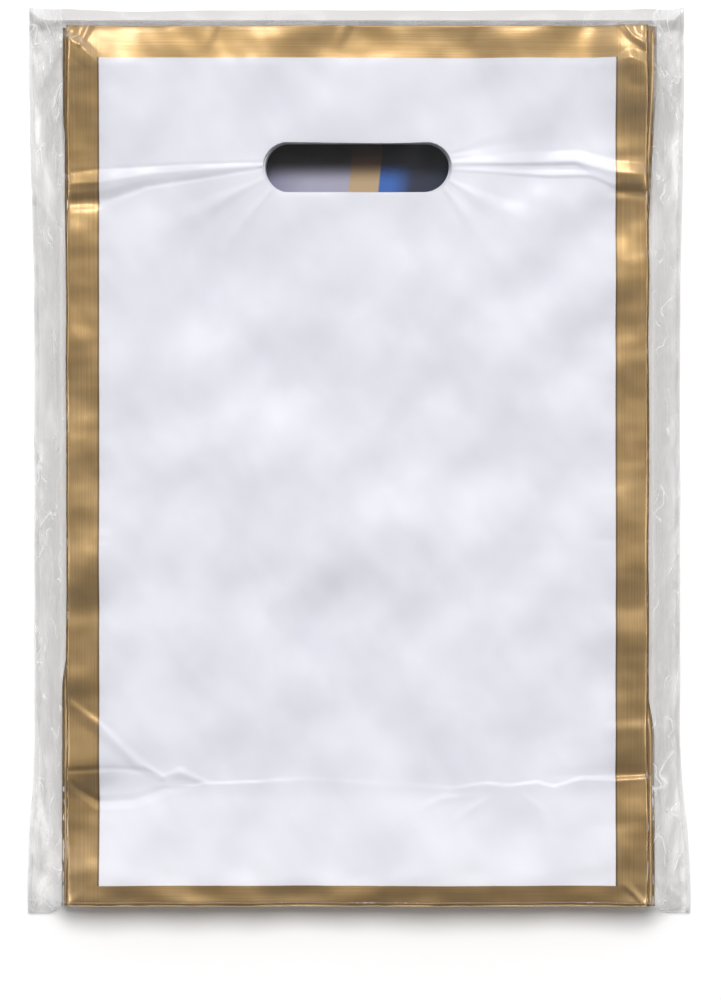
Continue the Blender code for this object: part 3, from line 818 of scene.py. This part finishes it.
def build_flap(film, adhesive):
    """The flap, turned under behind the back film, and its adhesive strip."""
    box = node_boxes["sleeve_flap"]
    half = (box[1][0] - box[0][0]) / 2
    free_y = box[0][1]
    middle = (box[0][2] + box[1][2]) / 2
    x = spaced(-half, [(half, 1.5 * MM)])[None, :]
    y = spaced(mouth_y, [(mouth_y - 2 * MM, 0.25 * MM), (free_y, 1.2 * MM)])[:, None]
    x, y = np.broadcast_arrays(x, y)
    rounding = 4.0 * MM
    corner = np.clip(np.abs(x) - half + rounding, 0, rounding)
    cut = rounding - np.sqrt(rounding**2 - corner**2)
    reach = ease(0, 1, (mouth_y - y) / (mouth_y - free_y))
    y = y + cut * reach
    z = middle + 0.03 * MM * swell(x, y, 0.02, 0.012, 110)
    z = hinge_z + (z - hinge_z) * ease(mouth_y, mouth_y - 1.2 * MM, y)
    piece = mesh_object("sleeve_flap_sheet", np.stack([x, y, z], axis=-1), [film])
    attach(piece, "sleeve_flap")
    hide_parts("sleeve_flap")

    strip = node_boxes["flap_adhesive_strip"]
    inset = 2.5 * MM
    x = spaced(strip[0][0] + inset, [(strip[1][0] - inset, 2.0 * MM)])[None, :]
    y = spaced(strip[1][1], [(strip[0][1], 0.8 * MM)])[:, None]
    x, y = np.broadcast_arrays(x, y)
    ragged = 0.12 * MM * swell(x, y, 0.004, 0.004, 111)
    z = strip[1][2] - 0.02 * MM + 0.015 * MM * swell(x, y, 0.006, 0.003, 112)
    points = np.stack([x, y + ragged, z], axis=-1)
    tape = mesh_object("flap_adhesive_tape", points, [adhesive])
    thicken(tape, 0.07 * MM)
    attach(tape, "sleeve_flap")
    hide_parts("flap_adhesive_strip")


def build_card(material):
    """The card, with round corners and a slight bow."""
    box = node_boxes["insert_card"]
    middle = (box[0] + box[1]) / 2
    half_x, half_y, thickness = box[1] - middle
    rounding = 3.0 * MM
    close, wide = 0.4 * MM, 3.0 * MM
    x = spaced(-half_x, [(-half_x + rounding, close), (half_x - rounding, wide), (half_x, close)])
    y = spaced(half_y, [(half_y - rounding, close), (-half_y + rounding, wide), (-half_y, close)])
    x, y = (a.copy() for a in np.broadcast_arrays(x[None, :], y[:, None]))
    over_x = np.clip(np.abs(x) - half_x + rounding, 0, rounding)
    over_y = np.clip(np.abs(y) - half_y + rounding, 0, rounding)
    square = np.maximum(over_x, over_y)
    round_off = np.where(square > 0, square / np.maximum(np.hypot(over_x, over_y), 1e-9), 1)
    x = np.sign(x) * (np.abs(x) - over_x * (1 - round_off))
    y = np.sign(y) * (np.abs(y) - over_y * (1 - round_off))
    z = box[1][2] + 0.04 * MM * swell(x, y, 0.06, 0.08, 120)
    points = np.stack([x + middle[0], y + middle[1], z], axis=-1)
    piece = mesh_object("insert_card_sheet", points, [material])
    thicken(piece, 2 * thickness)
    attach(piece, "insert_card")
    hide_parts("insert_card")


# Studio


def area_light(name, place, size, power, colour=(1, 1, 1)):
    """A rectangular light that faces the pack."""
    data = bpy.data.lights.new(name, "AREA")
    data.shape = "RECTANGLE"
    data.size, data.size_y = size
    data.energy = power
    data.color = colour
    lamp = bpy.data.objects.new(name, data)
    lamp.location = place
    lamp.rotation_euler = (-Vector(place)).to_track_quat("-Z", "Y").to_euler()
    bpy.context.scene.collection.objects.link(lamp)
    return lamp


def build_studio():
    """A white floor under a long overhead panel, with dimmer panels that only the gloss sees."""
    floor_mesh = bpy.data.meshes.new("floor")
    floor_mesh.from_pydata([(-6, -6, 0), (6, -6, 0), (6, 6, 0), (-6, 6, 0)], [], [(0, 1, 2, 3)])
    floor = bpy.data.objects.new("floor", floor_mesh)
    floor.location.z = -0.05 * MM
    made, _, shader = new_material("floor_white")
    shader.inputs["Base Color"].default_value = (0.93, 0.93, 0.93, 1)
    shader.inputs["Roughness"].default_value = 0.8
    shader.inputs["Specular IOR Level"].default_value = 0.1
    floor_mesh.materials.append(made)
    bpy.context.scene.collection.objects.link(floor)

    # The room is brighter behind the handles than in front of the foot
    world = bpy.data.worlds.new("studio")
    bpy.context.scene.world = world
    world.use_nodes = True
    tree = world.node_tree
    direction = add(tree, "ShaderNodeTexCoord").outputs["Generated"]
    _, forward, up = (add(tree, "ShaderNodeSeparateXYZ", {0: direction}).outputs[i] for i in range(3))
    ceiling = mapped(tree, forward, -0.70, 0.70, 0.12, ROOM_LIGHT)
    levels = {"Factor": mapped(tree, up, 0.10, 0.30), 2: ROOM_LIGHT, 3: ceiling}
    light = add(tree, "ShaderNodeMix", levels).outputs[0]
    background = tree.nodes["Background"]
    background.inputs[0].default_value = (0.98, 0.985, 1.0, 1)
    tree.links.new(light, background.inputs[1])

    key = area_light("key", (0, 1.22, 2.74), (0.74, 1.38), 76.0, (1.0, 0.99, 0.985))
    key.visible_glossy = False
    sheen = area_light("sheen", (0, 1.85, 2.36), (1.3, 0.8), 19.0, (1.0, 0.99, 0.98))
    sheen.visible_diffuse = False
    for side in (-1, 1):
        edge = area_light("edge", (side * 2.6, 0.3, 1.1), (1.6, 0.35), 16.0)
        edge.visible_diffuse = False
    bpy.context.scene.view_settings.view_transform = "Standard"


def build_camera():
    """Straight above the pack, with the handles at the top of the picture."""
    data = bpy.data.cameras.new("camera")
    data.sensor_fit = "VERTICAL"
    data.sensor_height = SENSOR
    data.lens = SENSOR * (CAMERA_HEIGHT - top_z) / SEEN_HEIGHT
    camera = bpy.data.objects.new("camera", data)
    camera.location = (front_box[0][0] + bag_width / 2 + 0.9 * MM, -10.0 * MM, CAMERA_HEIGHT)
    bpy.context.scene.collection.objects.link(camera)
    bpy.context.scene.camera = camera


film = [printed_film("printed_gift_film", bag_width, bag_length), plain_film("white_film_inside")]
bead = weld_film("gold_weld")
for bag_number in range(1, BAG_COUNT + 1):
    bag_film(bag_number, film)
    side_seam(bag_number, -1, "left", bead)
    side_seam(bag_number, 1, "right", bead)
clear = clear_film("clear_sleeve_film", tint=(1.0, 0.999, 0.998), layers_and_shade_tint=(0.66, 0.655, 0.651), haze=0.004,
                   crinkle_depth=0.60)
welded = clear_film("clear_weld", tint=(0.975, 0.975, 0.975), layers_and_shade_tint=(0.92, 0.92, 0.92), haze=0.10,
                    crinkle_depth=0.5)
build_sleeve(clear, welded)
flap_film = clear_film("clear_flap_film", tint=(0.995, 0.995, 0.996), layers_and_shade_tint=(0.9, 0.9, 0.9), haze=0.006,
                       crinkle_depth=0.1)
adhesive = clear_film("adhesive_tape", tint=(0.97, 0.972, 0.96), layers_and_shade_tint=(0.9, 0.9, 0.9), haze=0.08,
                      crinkle_depth=0.3)
build_flap(flap_film, adhesive)
build_card(card_stock("printed_card"))
build_studio()
build_camera()
